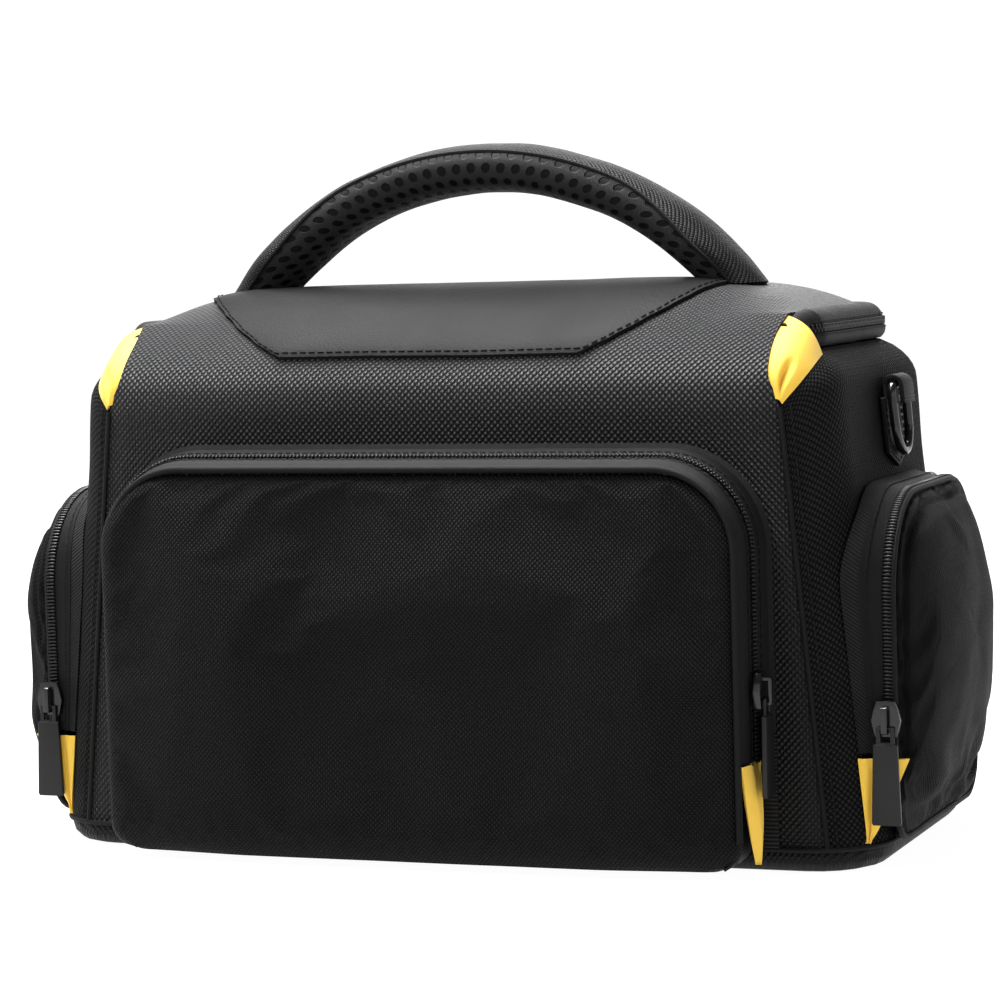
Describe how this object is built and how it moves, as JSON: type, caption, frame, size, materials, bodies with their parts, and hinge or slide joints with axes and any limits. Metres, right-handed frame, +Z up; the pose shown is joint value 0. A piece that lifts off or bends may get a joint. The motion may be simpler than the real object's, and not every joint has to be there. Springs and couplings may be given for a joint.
{
  "type": "camera bag",
  "caption": "Padded shoulder-style camera bag with a front-hinged zipped lid, arched carry handle, front pocket, side pockets, strap rings and padded dividers.",
  "frame": {"origin": "middle of the flat base, on the surface it stands on", "axes": "+X along the width to the bag's right as seen from its front, +Y from front to rear, +Z up"},
  "size_m": [0.34, 0.1624, 0.2402],
  "materials": {
    "body_nylon": "woven black nylon with a fine diamond texture",
    "plain_binding": "fine plain-weave black webbing",
    "zip_tape": "ribbed black zip tape with a nylon coil",
    "spacer_mesh": "black honeycomb spacer mesh",
    "patch_leather": "smooth dark grey leather, satin",
    "yellow_nylon": "fine yellow nylon",
    "foam": "closed-cell foam",
    "lining_fabric": "brushed grey loop fabric",
    "stiffener": "matte board",
    "black_metal": "gloss black",
    "pull_tab": "satin black"
  },
  "bodies": {
    "body": {"base_panel": "body_nylon", "base_board": "stiffener", "foam_base": "foam", "front_panel": "body_nylon", "rear_panel": "body_nylon", "foam_front": "foam", "foam_rear": "foam", "side_panel_left": "body_nylon", "side_panel_right": "body_nylon", "foam_left": "foam", "foam_right": "foam", "lining": "lining_fabric", "rim_band": "plain_binding", "main_zip_tape_lower": "zip_tape", "front_pocket_wall": "zip_tape", "front_zip_tape_wall": "zip_tape", "front_pocket_floor": "body_nylon", "front_gusset_left": "yellow_nylon", "front_gusset_right": "yellow_nylon", "side_pocket_wall_left": "zip_tape", "side_pocket_wall_right": "zip_tape", "side_zip_tape_left": "zip_tape", "side_zip_tape_right": "zip_tape", "side_gusset_left": "yellow_nylon", "side_gusset_right": "yellow_nylon", "d_ring_tab_left": "plain_binding", "d_ring_tab_right": "plain_binding"},
    "lid": {"lid_panel": "body_nylon", "lid_foam": "foam", "lid_lining": "lining_fabric", "lid_patch": "patch_leather", "lid_band": "plain_binding", "main_zip_tape_upper": "zip_tape", "corner_gusset_left": "yellow_nylon", "corner_gusset_right": "yellow_nylon"},
    "handle": {"handle_cover": "body_nylon", "handle_mesh": "spacer_mesh", "handle_core": "plain_binding"},
    "front_pocket": {"front_pocket_panel": "body_nylon", "front_pocket_piping": "plain_binding", "front_pocket_rim": "plain_binding", "front_zip_tape_panel": "zip_tape"},
    "side_pocket_left": {"side_pocket_shell_left": "body_nylon"},
    "d_ring_left": {"d_ring_left": "black_metal"},
    "divider_left": {"divider_left": "lining_fabric"},
    "side_pocket_right": {"side_pocket_shell_right": "body_nylon"},
    "d_ring_right": {"d_ring_right": "black_metal"},
    "divider_right": {"divider_right": "lining_fabric"},
    "main_slider_left": {"main_slider_left": "black_metal"},
    "main_slider_right": {"main_slider_right": "black_metal"},
    "front_slider": {"front_slider": "black_metal"},
    "side_slider_left": {"side_slider_left": "black_metal"},
    "side_slider_right": {"side_slider_right": "black_metal"},
    "main_pull_left": {"main_pull_left": "pull_tab"},
    "main_pull_right": {"main_pull_right": "pull_tab"},
    "front_pull": {"front_pull": "pull_tab"},
    "side_pull_left": {"side_pull_left": "pull_tab"},
    "side_pull_right": {"side_pull_right": "pull_tab"}
  },
  "joints": [
    {"name": "lid_hinge", "type": "hinge", "parent": "body", "child": "lid", "pos_m": [0, -0.0695, 0.152], "axis": [1, 0, 0], "range_deg": [0, 100]},
    {"name": "handle_tilt", "type": "hinge", "parent": "lid", "child": "handle", "pos_m": [0, 0, 0.1929], "axis": [1, 0, 0], "range_deg": [-20, 20], "stiffness_Nm_per_rad": 0.35},
    {"name": "front_pocket_hinge", "type": "hinge", "parent": "body", "child": "front_pocket", "pos_m": [0, -0.0915, 0.0035], "axis": [1, 0, 0], "range_deg": [0, 35]},
    {"name": "side_pocket_hinge_left", "type": "hinge", "parent": "body", "child": "side_pocket_left", "pos_m": [-0.1515, 0, 0.009], "axis": [0, -1, 0], "range_deg": [0, 35]},
    {"name": "d_ring_swing_left", "type": "hinge", "parent": "body", "child": "d_ring_left", "pos_m": [-0.13975, 0.008, 0.1542], "axis": [0, 1, 0], "range_deg": [0, 150]},
    {"name": "divider_slide_left", "type": "slide", "parent": "body", "child": "divider_left", "axis": [1, 0, 0], "range_m": [-0.03, 0.03]},
    {"name": "side_pocket_hinge_right", "type": "hinge", "parent": "body", "child": "side_pocket_right", "pos_m": [0.1515, 0, 0.009], "axis": [0, 1, 0], "range_deg": [0, 35]},
    {"name": "d_ring_swing_right", "type": "hinge", "parent": "body", "child": "d_ring_right", "pos_m": [0.13975, 0.008, 0.1542], "axis": [0, -1, 0], "range_deg": [0, 150]},
    {"name": "divider_slide_right", "type": "slide", "parent": "body", "child": "divider_right", "axis": [1, 0, 0], "range_m": [-0.03, 0.03]},
    {"name": "main_zip_left", "type": "slide", "parent": "body", "child": "main_slider_left", "axis": [-1, 0, 0], "range_m": [0, 0.06]},
    {"name": "main_zip_right", "type": "slide", "parent": "body", "child": "main_slider_right", "axis": [1, 0, 0], "range_m": [0, 0.06]},
    {"name": "front_zip", "type": "slide", "parent": "body", "child": "front_slider", "axis": [0, 0, 1], "range_m": [0, 0.045]},
    {"name": "side_zip_left", "type": "slide", "parent": "body", "child": "side_slider_left", "axis": [0, 0, 1], "range_m": [0, 0.038]},
    {"name": "side_zip_right", "type": "slide", "parent": "body", "child": "side_slider_right", "axis": [0, 0, 1], "range_m": [0, 0.038]},
    {"name": "main_pull_swing_left", "type": "hinge", "parent": "main_slider_left", "child": "main_pull_left", "pos_m": [-0.0148, 0.0661, 0.17512], "axis": [0, 0, -1], "range_deg": [0, 150]},
    {"name": "main_pull_swing_right", "type": "hinge", "parent": "main_slider_right", "child": "main_pull_right", "pos_m": [0.0148, 0.0661, 0.17512], "axis": [0, 0, 1], "range_deg": [0, 150]},
    {"name": "front_pull_swing", "type": "hinge", "parent": "front_slider", "child": "front_pull", "pos_m": [0.1176, -0.0805, 0.0587], "axis": [0, -1, 0], "range_deg": [0, 150]},
    {"name": "side_pull_swing_left", "type": "hinge", "parent": "side_slider_left", "child": "side_pull_left", "pos_m": [-0.1512, -0.0617, 0.0472], "axis": [-1, 0, 0], "range_deg": [0, 150]},
    {"name": "side_pull_swing_right", "type": "hinge", "parent": "side_slider_right", "child": "side_pull_right", "pos_m": [0.1512, -0.0617, 0.0472], "axis": [-1, 0, 0], "range_deg": [0, 150]}
  ]
}
